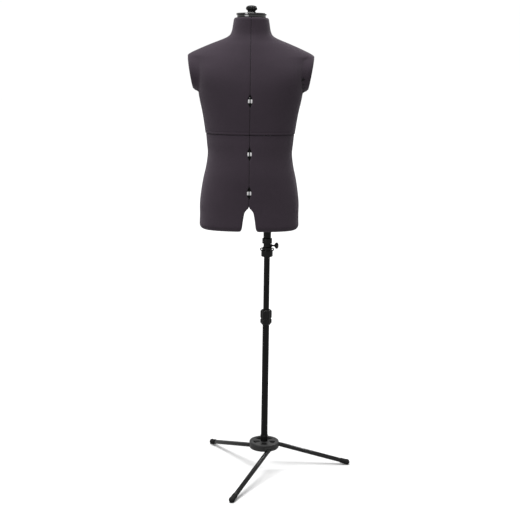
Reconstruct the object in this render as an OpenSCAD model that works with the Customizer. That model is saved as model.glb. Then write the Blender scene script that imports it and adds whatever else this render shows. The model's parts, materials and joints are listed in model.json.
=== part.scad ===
// Adjustable half-body dress form with trouser-leg stumps, on a telescopic pole with a folding tripod.
// Front is -Y, left and right are as seen from the front, all sizes in millimetres.

/* [Torso] */
// Height of the trouser hem above the floor
hem_z = 930; // [925:1:935]
// Height of the top of the arch between the legs
crotch_z = 1018; // [1014:1:1020]
// Height of the horizontal cut between the upper and the lower panels
cut_z = 1275; // [1270:1:1280]
// Height of the fabric edge round the neck
neck_top_z = 1680; // [1676:1:1682]
// Half of the width over the shoulder tips
shoulder_half = 224; // [220:1:228]
// Gap between neighbouring panels when the form is closed
panel_gap = 1.2; // [1:0.1:3]
// Gap at the horizontal cut when the form is closed
cut_gap = 1.2; // [1:0.1:3]
// Thickness of the fabric and the felt under it
cover_t = 2.5; // [2:0.1:3]
// Thickness of the moulded panel shells
shell_t = 3; // [2.5:0.1:3.5]
// Radius of the rounded trouser hem
hem_r = 20; // [16:1:22]
// Radius of the turned-in neck edge
neck_edge_r = 7; // [6.5:0.5:8]
// Distance from the middle of the body to the pole
pole_offset = 67; // [60:1:70]

/* [Adjusters] */
// Outer radius of an adjuster wheel
wheel_r = 24; // [22:0.5:25]
// Thickness of an adjuster wheel
wheel_t = 3.2; // [2.6:0.1:3.4]
// Radius of an adjuster spindle
spindle_r = 3; // [2.5:0.1:3.2]
// Distance from the fabric to the axis of an adjuster wheel
wheel_depth = 26; // [25:0.5:27]
// Height of the chest adjusters
chest_z = 1393; // [1390:1:1396]
// Height of the waist adjusters
waist_z = 1209; // [1206:1:1212]
// Height of the front and back hip adjusters
hip_z = 1071; // [1068:1:1074]
// Height of the side hip adjusters
hip_side_z = 1000; // [998:1:1004]
// Half of the height of the lens-shaped notch round a wheel
notch_h = 23; // [22:1:24]
// Half of the width of that notch
notch_w = 9; // [8.8:0.1:9.4]

/* [Inner frame] */
// Radius of the post inside the torso
post_r = 10; // [9:0.5:11]
// Height of the crosshead that carries the upper panels
crosshead_z = 1470; // [1460:1:1475]
// Height of the carriage that carries the lower panels
carriage_z = 1140; // [1136:1:1144]
// Reach of a rail from the middle of the body
rail_reach = 104; // [102:1:106]
// Width of a rail
rail_w = 10; // [8:0.5:11]
// Height of a rail
rail_h = 8; // [7:0.5:9]
// Clearance of sliding parts
slide_gap = 0.3; // [0.25:0.05:0.4]
// Radial clearance of turning parts
turn_gap = 0.05; // [0.03:0.01:0.08]

/* [Neck] */
// Radius of the neck cap
cap_r = 53.5; // [52:0.5:54]
// Height of the top of the neck cap
cap_top_z = 1695; // [1693:1:1697]
// Height of the top of the neck knob
knob_top_z = 1722; // [1720:1:1726]
// Largest radius of the neck knob
knob_r = 20.5; // [19:0.5:22]

/* [Pole] */
// Outer radius of the upper tube
upper_tube_r = 11; // [10.8:0.1:11.2]
// Outer radius of the lower tube
lower_tube_r = 12.5; // [12.4:0.1:12.8]
// Height of the joint between the clamp body and the clamp nut
clamp_z = 593; // [585:1:600]
// Height of the top of the clamp nut
clamp_top_z = 627; // [624:1:630]
// Height of the lower end of the pole head
head_z = 827.5; // [826:0.5:829]
// Height of the top of the pole head
head_top_z = 895; // [893:1:897]
// Height of the eyelets
eyelet_z = 854; // [852:1:856]
// Height of the thumbscrew
thumb_z = 868; // [866:1:870]
// Radius of an eyelet hole
eyelet_hole_r = 2.25; // [2:0.05:2.5]

/* [Tripod] */
// Radius of the hub
hub_r = 56; // [55:0.5:57]
// Height of the hub's lower edge
hub_z = 89; // [88:0.5:90]
// Height of the hub's top face
hub_top_z = 114; // [113:0.5:115]
// Distance from the pole axis to a foot
leg_reach = 327; // [320:1:335]
// Direction of the first foot
leg_angle = 9.8; // [0:0.2:20]
// Outer radius of a leg tube
leg_r = 8.3; // [8:0.1:8.4]
// Radius of the ball of a rubber foot
foot_r = 11; // [10.6:0.1:11.4]
// Distance by which a leg passes beside the pole axis
leg_side = 36.6; // [36:0.1:37]
// Distance from the pole axis to a leg pivot, along the leg
pivot_r = 22; // [21.5:0.5:22.5]
// Height of a leg pivot
pivot_z = 96.1; // [95.8:0.1:96.5]

/* [Hidden] */
$fn = 48;
HALVES = ["upper", "lower"];
FACES = ["front", "back"];
SIDES = ["left", "right"];

// The origin is the middle of the whole form's footprint, on the floor.
pole_x = (pole_offset + shoulder_half - leg_reach * cos(leg_angle) - foot_r) / 2;
pole_y = -leg_reach * (sin(leg_angle + 240) + sin(leg_angle + 120)) / 2;
body_x = pole_x - pole_offset;

FABRIC = [0.24, 0.21, 0.24];
NYLON = [0.93, 0.93, 0.91];
BLACK = [0.07, 0.07, 0.07];
STEEL = [0.55, 0.56, 0.58];
SHELL = [0.16, 0.15, 0.17];

// ---------------------------------------------------------------- torso outline
// Each list pairs a height with a size, and a smooth curve runs through its points.
SIDE_CURVE = [ // half width of the body, arm stumps left out
  [hem_z, 181], [980, 179.5], [1036, 179], [1110, 168.5], [1160, 157.5], [1205, 152], [1240, 155],
  [1275, 160], [1340, 170], [1410, 184], [1440, 187], [1480, 192], [1515, 201], [1534, 213],
  [1546, shoulder_half],
  [1552, 221], [1559, 211], [1573, 181], [1590, 141], [1604, 105], [1613, 85], [1621, 75], [1635, 68.6],
  [1655, 65], [1680, 61]
];
FRONT_CURVE = [ // depth of the front at the middle
  [hem_z, 96], [1000, 99], [1060, 103], [1130, 108], [1205, 106], [1275, 108], [1340, 113], [1410, 118],
  [1460, 116], [1510, 106], [1550, 94], [1585, 80], [1607, 68], [1621, 62], [1640, 59.5], [1680, 58]
];
BACK_CURVE = [ // depth of the back at the middle
  [hem_z, 104], [985, 114], [1040, 122], [1090, 115], [1150, 96], [1205, 85], [1260, 90], [1340, 103],
  [1420, 112], [1480, 115], [1530, 108], [1570, 93], [1600, 75], [1621, 65], [1640, 60.5], [1680, 58]
];
BLUNT_CURVE = [ // exponent of a horizontal section: 2 is an ellipse, more is boxier
  [hem_z, 2.6], [1036, 2.4], [1205, 2.2], [1340, 2.3], [1410, 2.5], [1470, 3], [1500, 2.8], [1530, 2.1],
  [1550, 1.65], [1575, 1.5], [1600, 1.55], [1621, 2], [1680, 2]
];
ARCH_CURVE = [ // half width of the arch between the legs
  [hem_z, 25.5], [965, 21.5], [990, 17.5], [1002, 14.5], [1011, 8], [crotch_z, panel_gap / 2]
];

function span_of(tab, z, k = 0) = (k >= len(tab) - 2 || z < tab[k + 1][0]) ? k : span_of(tab, z, k + 1);
function slope_at(tab, k) =
  let (lo = max(k - 1, 0), hi = min(k + 1, len(tab) - 1))
  (tab[hi][1] - tab[lo][1]) / (tab[hi][0] - tab[lo][0]);
function curve(tab, z) =
  let (k = span_of(tab, z), h = tab[k + 1][0] - tab[k][0], t = (z - tab[k][0]) / h)
  let (t2 = t * t, t3 = t2 * t)
  (2 * t3 - 3 * t2 + 1) * tab[k][1] + (t3 - 2 * t2 + t) * h * slope_at(tab, k)
  + (3 * t2 - 2 * t3) * tab[k + 1][1] + (t3 - t2) * h * slope_at(tab, k + 1);
function smooth(t) = let (c = min(max(t, 0), 1)) c * c * (3 - 2 * c);

// How far the rounded hem and the turned-in neck edge stand back from the wall.
function hem_inset(z) = z > hem_z + hem_r ? 0 : hem_r - sqrt(max(hem_r^2 - (hem_z + hem_r - z)^2, 0));
function neck_inset(z) =
  let (start = neck_top_z - neck_edge_r)
  z < start ? 0 : neck_edge_r - sqrt(max(neck_edge_r^2 - (z - start)^2, 0));
// The lower panels stand back a little at the cut.
cut_step = 1.5;
cut_fade = 40;
function cut_inset(z) =
  z > cut_z || z < cut_z - cut_fade ? 0 : cut_step * smooth((z - cut_z + cut_fade) / cut_fade);
function half_width(z) = curve(SIDE_CURVE, z) - hem_inset(z) - neck_inset(z) - cut_inset(z);
function half_depth(z, front) =
  curve(front ? FRONT_CURVE : BACK_CURVE, z) - 0.8 * hem_inset(z) - neck_inset(z) - cut_inset(z);
function bluntness(z) = curve(BLUNT_CURVE, z);

// The arm stump is a flat oval plate that stands out from the side of the body.
stump_z = 1488;
stump_high = 60;
stump_deep = 58;
stump_lean = 0.171;
function stump_x(z) = shoulder_half - stump_lean * (1546 - z);
function stump_blend(y, z) =
  smooth((1.13 - norm([y / stump_deep, (z - stump_z) / stump_high])) / 0.2);

// A point of the fabric surface in one quarter: turn 0 is the middle line, 90 the side seam.
function skin(turn, z, front) =
  let (n = bluntness(z))
  let (k = pow(pow(abs(sin(turn)), n) + pow(abs(cos(turn)), n), -1 / n))
  let (x = half_width(z) * sin(turn) * k, y = half_depth(z, front) * cos(turn) * k)
  [x + max(stump_x(z) - x, 0) * stump_blend(y, z), y, z];
function inward(turn, z, front) =
  let (along = skin(turn + 1, z, front) - skin(turn - 1, z, front))
  let (up = skin(turn, min(z + 0.6, neck_top_z), front) - skin(turn, max(z - 0.6, hem_z), front))
  let (n = cross(along, up))
  n / norm(n);

// ---------------------------------------------------------------- panel grids
function lens(z, at) = abs(z - at) < notch_h ? 1 - ((z - at) / notch_h)^2 : 0;
function edge_gap(z, heights) =
  panel_gap / 2 + (notch_w - panel_gap / 2) * max([for (h = heights) lens(z, h)]);
function notch_rows(at) = [for (s = [-1, -0.5, 0, 0.5, 1]) at + s * notch_h];
function edge_rows(from, r, up) =
  [for (a = [0, 35, 65, 90]) up ? from + r * (1 - cos(a)) : from - r * (1 - sin(a))];

UPPER_ROWS = concat(
  [cut_z + cut_gap / 2, 1305, 1340], notch_rows(chest_z),
  [1421, 1427, 1434, 1450, 1480, 1510, 1530, 1542, 1550, 1559, 1573, 1590, 1604, 1613, 1621, 1635, 1655],
  edge_rows(neck_top_z, neck_edge_r, false));
LEG_ROWS = concat(edge_rows(hem_z, hem_r, true), [hip_side_z - notch_h - 4, 989, 1002, 1011, crotch_z]);
HIP_ROWS = [crotch_z + 8, 1038];
LOWER_ROWS = concat(
  LEG_ROWS, HIP_ROWS, notch_rows(hip_z), [1120, 1155], notch_rows(waist_z), [1252, cut_z - cut_gap / 2]);
SEAM_COLS = 9;
CORNER_COLS = 3;
WALL_COLS = 3;
LEG_COLS = CORNER_COLS + WALL_COLS;

// The front edge of the inner-leg wall is rounded, and sharper towards the arch.
function corner_r(z) = 8 - 5.5 * smooth((z - 985) / (crotch_z - 985));
function arch_half(z) = curve(ARCH_CURVE, z) + 0.3 * hem_inset(z);

// A point of a lower or upper panel, t below the fabric surface; columns below 0 are the inner-leg wall.
function panel_point(col, z, front, lower, t) =
  let (leg = lower && z <= crotch_z)
  let (bend = max(corner_r(z) - t, 0.5))
  let (wall = arch_half(z) + t)
  let (mid = leg ? wall + bend : edge_gap(z, lower ? [hip_z, waist_z] : [chest_z]))
  let (rim = edge_gap(z, lower ? [hip_side_z, waist_z] : [chest_z]))
  let (turn0 = asin(mid / half_width(z)), turn1 = 90 - asin(rim / half_depth(z, front)))
  let (turn = turn0 + (turn1 - turn0) * max(col, 0) / SEAM_COLS)
  let (p = skin(turn, z, front) + t * inward(turn, z, front))
  col >= 0 || !leg ? p
  : col >= -CORNER_COLS ?
    let (b = -90 * col / CORNER_COLS) p + bend * [-sin(b), cos(b) - 1, 0]
  : let (y0 = p[1] - bend, s = (-col - CORNER_COLS) / WALL_COLS)
    [wall, y0 + (panel_gap / 2 - y0) * s, p[2]];

// A closed sheet between two depths, built cell by cell so that the leg rows can be longer than the others.
module panel_solid(front, lower, t0, t1) {
  rows = lower ? LOWER_ROWS : UPPER_ROWS;
  leg_top = lower ? len(LEG_ROWS) - 1 : 0;
  c0 = lower ? -LEG_COLS : 0;
  nc = SEAM_COLS - c0 + 1;
  nr = len(rows);
  points = [for (t = [t0, t1], z = rows, c = [c0:SEAM_COLS]) panel_point(c, z, front, lower, t)];
  function id(c, r, layer) = layer * nc * nr + r * nc + c - c0;
  function cell(c, r) = c >= c0 && c < SEAM_COLS && r >= 0 && r < nr - 1 && (c >= 0 || r < leg_top);
  cells = [for (r = [0:nr - 2], c = [c0:SEAM_COLS - 1]) if (cell(c, r)) [c, r]];
  outer = [for (q = cells) each [
    [id(q[0], q[1], 0), id(q[0], q[1] + 1, 0), id(q[0] + 1, q[1] + 1, 0)],
    [id(q[0], q[1], 0), id(q[0] + 1, q[1] + 1, 0), id(q[0] + 1, q[1], 0)]]];
  inner = [for (q = cells) each [
    [id(q[0], q[1], 1), id(q[0] + 1, q[1] + 1, 1), id(q[0], q[1] + 1, 1)],
    [id(q[0], q[1], 1), id(q[0] + 1, q[1], 1), id(q[0] + 1, q[1] + 1, 1)]]];
  // Rim faces close every side of a cell that has no neighbour there.
  rim = [for (q = cells, d = [[-1, 0], [1, 0], [0, -1], [0, 1]]) if (!cell(q[0] + d[0], q[1] + d[1]))
    let (a = d[0] > 0 ? [1, 1] : d[0] < 0 ? [0, 0] : d[1] > 0 ? [0, 1] : [1, 0])
    let (b = d[0] > 0 ? [1, 0] : d[0] < 0 ? [0, 1] : d[1] > 0 ? [1, 1] : [0, 0])
    each [
      [id(q[0] + b[0], q[1] + b[1], 0), id(q[0] + a[0], q[1] + a[1], 0), id(q[0] + a[0], q[1] + a[1], 1)],
      [id(q[0] + b[0], q[1] + b[1], 0), id(q[0] + a[0], q[1] + a[1], 1), id(q[0] + b[0], q[1] + b[1], 1)]]];
  polyhedron(points, concat(outer, inner, rim), convexity = 10);
}

// Turns a quarter that is drawn at +X and +Y into the named one.
module quarter(face, side) {
  translate([body_x, pole_y, 0])
    mirror([side == "left" ? 1 : 0, 0, 0])
      mirror([0, face == "front" ? 1 : 0, 0])
        children();
}

module shell(half, face, side) {
  color(SHELL) quarter(face, side)
    panel_solid(face == "front", half == "lower", cover_t + 0.1, cover_t + shell_t + 0.1);
}

module cover(half, face, side) {
  color(FABRIC) quarter(face, side)
    panel_solid(face == "front", half == "lower", 0, cover_t);
}

// ---------------------------------------------------------------- panel fittings
block_in = 1.9;
block_out = 7.5;
block_high = 12.5;
block_deep = 33;
lug_out = 14;
lug_depth = 5;
lug_deep = 11;

// Nylon block beside an adjuster wheel: +X runs along the spindle, +Y points out of the fabric, origin on it.
module wheel_block() {
  difference() {
    union() {
      translate([block_in, -block_deep, -block_high / 2])
        cube([block_out - block_in, block_deep - 1.5, block_high]);
      translate([block_out - 0.5, -lug_deep, -block_high / 2])
        cube([lug_out - block_out + 0.5, lug_deep - lug_depth, block_high]);
    }
    translate([0, -wheel_depth, 0]) rotate([0, 90, 0]) cylinder(r = spindle_r + turn_gap, h = block_out + 1);
  }
}

module middle_block(z, front) {
  translate([0, half_depth(z, front), z]) wheel_block();
}

module side_block(z) {
  translate([half_width(z), 0, z]) mirror([1, 0, 0]) rotate([0, 0, 90]) wheel_block();
}

// Distance from the middle of the body to the fabric along a rail, at 45 degrees.
function rail_skin(z, front) =
  let (n = bluntness(z))
  sqrt(2) * pow(pow(half_width(z), -n) + pow(half_depth(z, front), -n), -1 / n);

slider_near = 50;
slider_long = 22;
slider_wall = 4;
bridge_t = 5;
bridge_low = 5;
bridge_high = 13;

// Sleeve that slides on a rail, with a bridge out to the shell.
module slider(z, front) {
  reach = rail_skin(z + 9, front) - cover_t - shell_t + 0.2;
  hole_w = rail_w + 2 * slide_gap;
  hole_h = rail_h + 2 * slide_gap;
  translate([0, 0, z]) rotate([0, 0, 45]) {
    difference() {
      translate([slider_near, -hole_w / 2 - slider_wall, -hole_h / 2 - slider_wall])
        cube([slider_long, hole_w + 2 * slider_wall, hole_h + 2 * slider_wall]);
      translate([slider_near - 1, -hole_w / 2, -hole_h / 2]) cube([slider_long + 2, hole_w, hole_h]);
    }
    translate([slider_near + 2, -bridge_t / 2, bridge_low])
      cube([reach - slider_near - 2, bridge_t, bridge_high - bridge_low]);
  }
}

module fittings(half, face, side) {
  front = face == "front";
  color(NYLON) quarter(face, side) {
    if (half == "upper") {
      slider(crosshead_z, front);
      middle_block(chest_z, front);
      side_block(chest_z);
    } else {
      slider(carriage_z, front);
      middle_block(waist_z, front);
      middle_block(hip_z, front);
      side_block(waist_z);
      side_block(hip_side_z);
    }
  }
}

// ---------------------------------------------------------------- adjuster wheels
knurls = 20;
spindle_free = 49;
collar_t = 2;
collar_z = -block_out - slide_gap - collar_t;

// Wheel and spindle in one piece: the spindle's free end runs along +X, +Y points out of the fabric.
module adjuster() {
  translate([0, -wheel_depth, 0]) rotate([0, 90, 0]) {
    difference() {
      translate([0, 0, -wheel_t / 2]) cylinder(r = wheel_r, h = wheel_t);
      for (k = [0:knurls - 1])
        rotate([0, 0, 360 / knurls * k])
          translate([wheel_r + 0.8, 0, -wheel_t]) cylinder(r = 1.8, h = 2 * wheel_t, $fn = 24);
    }
    translate([0, 0, collar_z]) cylinder(r = spindle_r, h = spindle_free - collar_z);
    translate([0, 0, collar_z]) cylinder(r = spindle_r + 1.8, h = collar_t);
  }
}

// Front wheels are held by the left panel, back ones by the right one, side ones by the back panels.
module wheel(z, place) {
  color(BLACK) translate([body_x, pole_y, z]) {
    if (place == "front") translate([0, -half_depth(z, true), 0]) mirror([0, 1, 0]) adjuster();
    if (place == "back") translate([0, half_depth(z, false), 0]) mirror([1, 0, 0]) adjuster();
    if (place == "right") translate([half_width(z), 0, 0]) rotate([0, 0, -90]) adjuster();
    if (place == "left") translate([-half_width(z), 0, 0]) mirror([1, 0, 0]) rotate([0, 0, -90]) adjuster();
  }
}

// ---------------------------------------------------------------- inner frame
stub_r = 14;
stub_top_z = 940;
spigot_r = 9.5;
spigot_z = 857;
post_z = 900;
post_top_z = crosshead_z + 8;
neck_rod_r = 8;
neck_plate_z = 1668;
neck_plate_t = 6;
stud_r = 3;

module rails() {
  for (a = [45:90:315])
    rotate([0, 0, a]) translate([0, -rail_w / 2, -rail_h / 2]) cube([rail_reach, rail_w, rail_h]);
}

module body_spigot() {
  color(BLACK) translate([pole_x, pole_y, 0]) difference() {
    union() {
      translate([0, 0, spigot_z + slide_gap]) cylinder(r = spigot_r, h = head_top_z - spigot_z + 2);
      translate([0, 0, head_top_z + slide_gap]) cylinder(r = stub_r, h = stub_top_z - head_top_z - slide_gap);
    }
    translate([0, 0, post_z]) cylinder(r = post_r, h = stub_top_z);
  }
}

module body_post() {
  color(STEEL) translate([pole_x, pole_y, post_z]) difference() {
    cylinder(r = post_r, h = post_top_z - post_z);
    translate([0, 0, -1]) cylinder(r = post_r - 1.5, h = post_top_z - post_z + 2);
  }
}

module crosshead() {
  color(BLACK) translate([body_x, pole_y, crosshead_z]) difference() {
    union() {
      rails();
      translate([0, 0, -7]) cylinder(r = 22, h = 22);
      translate([0, -11, -7]) cube([pole_offset, 22, 14]);
      translate([pole_offset, 0, -14]) cylinder(r = 16, h = 28);
    }
    translate([pole_offset, 0, -15]) cylinder(r = post_r, h = 15 + post_top_z - crosshead_z);
    translate([0, 0, -3]) cylinder(r = neck_rod_r, h = 30);
  }
}

module carriage() {
  color(BLACK) translate([body_x, pole_y, carriage_z]) difference() {
    union() {
      rails();
      translate([0, 0, -6]) cylinder(r = 20, h = 12);
      translate([0, -9, -6]) cube([pole_offset, 18, 12]);
      translate([pole_offset, 0, -30]) cylinder(r = 15, h = 60);
    }
    translate([pole_offset, 0, -31]) cylinder(r = post_r + slide_gap, h = 62);
  }
}

module neck_rod() {
  color(STEEL) translate([body_x, pole_y, 0]) difference() {
    union() {
      translate([0, 0, crosshead_z - 3]) cylinder(r = neck_rod_r, h = neck_plate_z - crosshead_z + 4);
      translate([0, 0, neck_plate_z]) cylinder(r = 46, h = neck_plate_t);
    }
    translate([0, 0, neck_plate_z - 20]) cylinder(r = stud_r + turn_gap, h = 40);
  }
}

// A rim plate over a waisted wall, dished a little on top.
module neck_cap() {
  wall_r = cap_r - 3;
  low_z = neck_top_z + 0.5;
  color(BLACK) translate([body_x, pole_y, 0]) rotate_extrude($fn = 96) polygon([
    [stud_r + turn_gap, neck_plate_z + neck_plate_t], [24, neck_plate_z + neck_plate_t], [26, low_z],
    [wall_r - 1, low_z], [wall_r, low_z + 1], [wall_r, cap_top_z - 7], [cap_r - 1, cap_top_z - 6],
    [cap_r, cap_top_z - 5], [cap_r, cap_top_z - 1.2], [cap_r - 1.2, cap_top_z], [cap_r - 4, cap_top_z],
    [cap_r - 6, cap_top_z - 1], [stud_r + turn_gap, cap_top_z - 1]]);
}

knob_flutes = 10;

module neck_knob() {
  z0 = cap_top_z - 1 + slide_gap;
  color(BLACK) translate([body_x, pole_y, 0]) {
    difference() {
      rotate_extrude($fn = 96) polygon([
        [0, z0], [17, z0], [17, z0 + 2.5], [14.5, z0 + 5], [13.5, z0 + 7.5], [14.5, z0 + 10],
        [knob_r - 1, z0 + 13.5], [knob_r, z0 + 15], [knob_r, z0 + 20.5], [knob_r - 1, z0 + 23],
        [knob_r - 4, z0 + 25.2], [8, knob_top_z], [0, knob_top_z]]);
      for (k = [0:knob_flutes - 1])
        rotate([0, 0, 360 / knob_flutes * (k + 0.5)])
          translate([knob_r + 2.6, 0, z0 + 8]) cylinder(r = 4, h = 30);
    }
    translate([0, 0, neck_plate_z - 16]) cylinder(r = stud_r, h = z0 + 1 - neck_plate_z + 16);
  }
}

// ---------------------------------------------------------------- pole
clamp_lobes = 6;
clamp_r = 21.4;
tube_bore_r = upper_tube_r + slide_gap;
collet_r = 14;
clamp_body_z = 569.5;
lower_tube_z = 95;
lower_tube_top_z = clamp_z - 3;
upper_tube_z = 300;
upper_tube_top_z = 850;

module lobed(r, lobe_r, h) {
  cylinder(r = r - 3, h = h);
  for (k = [0:clamp_lobes - 1])
    rotate([0, 0, 360 / clamp_lobes * k]) translate([r - lobe_r, 0, 0]) cylinder(r = lobe_r, h = h);
}

module lower_tube() {
  color(BLACK) translate([pole_x, pole_y, lower_tube_z]) difference() {
    cylinder(r = lower_tube_r, h = lower_tube_top_z - lower_tube_z);
    translate([0, 0, 2]) cylinder(r = tube_bore_r, h = lower_tube_top_z);
  }
}

// Plastic bush round the foot of the pole, on top of the hub.
module pole_bush() {
  color(BLACK) translate([pole_x, pole_y, hub_top_z - 1]) rotate_extrude() polygon([
    [lower_tube_r, 0.02], [13.8, 0.02], [13.8, 21], [14.6, 21.6], [14.6, 23.2], [13.9, 24],
    [lower_tube_r, 24]]);
}

module clamp_body() {
  color(BLACK) translate([pole_x, pole_y, 0]) difference() {
    union() {
      translate([0, 0, clamp_body_z]) cylinder(r1 = 15.5, r2 = 19.5, h = 6);
      translate([0, 0, clamp_body_z + 6]) lobed(clamp_r, 7, clamp_z - clamp_body_z - 7);
      translate([0, 0, clamp_body_z + 3]) cylinder(r = 18.5, h = clamp_z - clamp_body_z - 3);
      translate([0, 0, clamp_z - 1]) cylinder(r = collet_r, h = 20);
    }
    translate([0, 0, clamp_body_z - 1]) cylinder(r = lower_tube_r, h = lower_tube_top_z - clamp_body_z + 1);
    translate([0, 0, clamp_body_z]) cylinder(r = tube_bore_r, h = 100);
  }
}

module clamp_nut() {
  h = clamp_top_z - clamp_z - slide_gap;
  color(BLACK) translate([pole_x, pole_y, clamp_z + slide_gap]) difference() {
    union() {
      translate([0, 0, 1]) lobed(clamp_r, 7, h - 4);
      cylinder(r = 18.5, h = h - 3);
      translate([0, 0, h - 3.5]) cylinder(r1 = 19, r2 = 16, h = 3.5);
    }
    translate([0, 0, -1]) cylinder(r = collet_r + slide_gap, h = 21);
    cylinder(r = tube_bore_r, h = 100);
  }
}

module upper_tube() {
  color(BLACK) translate([pole_x, pole_y, upper_tube_z]) difference() {
    cylinder(r = upper_tube_r, h = upper_tube_top_z - upper_tube_z);
    translate([0, 0, -1]) cylinder(r = upper_tube_r - 1.5, h = upper_tube_top_z);
  }
}

eyelet_r = 6;
eyelet_t = 4;
eyelet_x = 20;

module pole_head() {
  color(BLACK) translate([pole_x, pole_y, 0]) difference() {
    union() {
      rotate_extrude($fn = 72) polygon([
        [0, head_z], [19.5, head_z], [21.2, head_z + 1.5], [21.2, head_z + 22.5], [20, head_z + 24],
        [17, head_z + 24.5], [17, head_top_z - 33], [13.2, head_top_z - 31], [13.2, head_top_z - 20],
        [18, head_top_z - 18.5],
        [18, head_top_z - 1], [17, head_top_z], [0, head_top_z]]);
      for (s = [-1, 1])
        translate([s * eyelet_x, eyelet_t / 2, eyelet_z])
          rotate([90, 0, 0]) cylinder(r = eyelet_r, h = eyelet_t);
      translate([11, 0, thumb_z]) rotate([0, 90, 0]) cylinder(r = 5.5, h = 7.5);
    }
    for (s = [-1, 1])
      translate([s * eyelet_x, eyelet_t, eyelet_z])
        rotate([90, 0, 0]) cylinder(r = eyelet_hole_r, h = 2 * eyelet_t);
    translate([0, 0, head_z - 1]) cylinder(r = upper_tube_r, h = upper_tube_top_z - head_z + 1);
    translate([0, 0, spigot_z]) cylinder(r = spigot_r + turn_gap, h = 50);
    translate([0, 0, thumb_z]) rotate([0, 90, 0]) cylinder(r = stud_r + turn_gap, h = 30);
  }
}

module thumbscrew() {
  color(BLACK) translate([pole_x, pole_y, thumb_z]) rotate([0, 90, 0]) {
    translate([0, 0, spigot_r + slide_gap]) cylinder(r = stud_r, h = 20);
    rotate_extrude() polygon([
      [0, 27], [4.5, 27], [6.5, 29], [10.5, 31], [11.5, 33.5], [11.5, 36.5], [10.5, 39], [7.5, 41],
      [3.5, 42], [0, 42]]);
  }
}

// ---------------------------------------------------------------- tripod
windows = 5;
hub_wall = 4;
hub_floor = 2.2;
cheek_in = 6.5;
cheek_out = 10.5;
pin_r = 2.5;
leg_turn = leg_angle - asin(leg_side / leg_reach);
foot_along = sqrt(leg_reach^2 - leg_side^2);
leg_slope = atan((pivot_z - foot_r + 1) / (foot_along - pivot_r));
leg_long = norm([foot_along - pivot_r, pivot_z - foot_r + 1]);
slot_z = 105.2;

// Draws something three times, each with +X along a leg and the leg's line on the X axis.
module at_legs() {
  for (k = [0:2]) rotate([0, 0, leg_turn + 120 * k]) translate([0, leg_side, 0]) children();
}

module hub() {
  plate_z = hub_top_z - hub_wall;
  color(BLACK) translate([pole_x, pole_y, 0]) difference() {
    union() {
      difference() {
        rotate_extrude($fn = 96) polygon([
          [0, hub_z + 1], [hub_r - 2, hub_z], [hub_r - 0.5, hub_z + 1.5], [hub_r - 0.5, hub_top_z - 6],
          [hub_r, hub_top_z - 5], [hub_r, hub_top_z - 3], [hub_r - 0.9, hub_top_z - 0.9],
          [hub_r - 3, hub_top_z], [hub_r - 5, hub_top_z],
          [hub_r - 6, hub_top_z - 1], [0, hub_top_z - 1]]);
        translate([0, 0, hub_z + hub_floor])
          cylinder(r = hub_r - hub_wall, h = plate_z - hub_z - hub_floor, $fn = 96);
      }
      translate([0, 0, hub_z]) cylinder(r = 16, h = plate_z - hub_z + 1);
      at_legs()
        for (s = [cheek_in, -cheek_out])
          translate([pivot_r - 7, s, hub_z + 2]) cube([14, cheek_out - cheek_in, plate_z - hub_z - 1]);
    }
    translate([0, 0, lower_tube_z]) cylinder(r = lower_tube_r, h = 40);
    translate([0, 0, hub_z - 1]) cylinder(r = 3, h = 20);
    for (k = [0:windows - 1])
      rotate([0, 0, 270 + 360 / windows * k]) window();
    at_legs() {
      translate([pivot_r + 8.5, -leg_r - 1, hub_z - 1]) cube([40, 2 * leg_r + 2, slot_z - hub_z + 1]);
      translate([pivot_r - leg_r - 1, -cheek_in, hub_z - 1])
        cube([41 + leg_r, 2 * cheek_in, slot_z - hub_z + 1]);
      translate([pivot_r, 0, pivot_z]) rotate([90, 0, 0]) cylinder(r = pin_r, h = 30, center = true);
    }
  }
}

// Opening through the hub's top plate, wider towards the rim.
module window() {
  translate([0, 0, hub_top_z - 5]) linear_extrude(6)
    polygon([[17.5, -7], [17.5, 7], [40, 12], [42.5, 0], [40, -12]]);
}

module hub_screw() {
  color(STEEL) translate([pole_x, pole_y, 0]) {
    translate([0, 0, hub_z - 2.5]) cylinder(r = 9, h = 2.5);
    translate([0, 0, hub_z - 6.5]) cylinder(r = 5.5, h = 4, $fn = 6);
    translate([0, 0, hub_z - 1]) cylinder(r = 3, h = lower_tube_z - hub_z + 1);
  }
}

module leg_pins() {
  color(STEEL) translate([pole_x, pole_y, 0]) at_legs()
    translate([pivot_r, 0, pivot_z]) rotate([90, 0, 0]) cylinder(r = pin_r, h = 2 * cheek_out, center = true);
}

// Draws a leg piece whose +X runs from the pivot to the foot.
module on_leg(k) {
  translate([pole_x, pole_y, 0])
    rotate([0, 0, leg_turn + 120 * (k - 1)])
      translate([pivot_r, leg_side, pivot_z])
        rotate([0, leg_slope, 0])
          children();
}

module leg(k) {
  eye_t = 2 * cheek_in - 1;
  color(BLACK) on_leg(k) difference() {
    union() {
      rotate([90, 0, 0]) cylinder(r = leg_r - 0.4, h = eye_t, center = true);
      translate([0, -eye_t / 2, -leg_r + 1]) cube([20, eye_t, 2 * leg_r - 2]);
      translate([13, 0, 0]) rotate([0, 90, 0]) cylinder(r = leg_r, h = leg_long - 16);
    }
    translate([24, 0, 0]) rotate([0, 90, 0]) cylinder(r = leg_r - 1.2, h = leg_long);
    rotate([90, 0, 0]) cylinder(r = pin_r + turn_gap, h = 30, center = true);
  }
}

module foot(k) {
  color(BLACK) difference() {
    on_leg(k) difference() {
      union() {
        translate([leg_long - 26, 0, 0]) rotate([0, 90, 0]) cylinder(r = foot_r - 1.2, h = 26);
        translate([leg_long, 0, 0]) sphere(r = foot_r);
      }
      translate([leg_long - 30, 0, 0]) rotate([0, 90, 0]) cylinder(r = leg_r, h = 27);
    }
    translate([-500, -500, -20]) cube([1000, 1000, 20]);
  }
}

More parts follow.
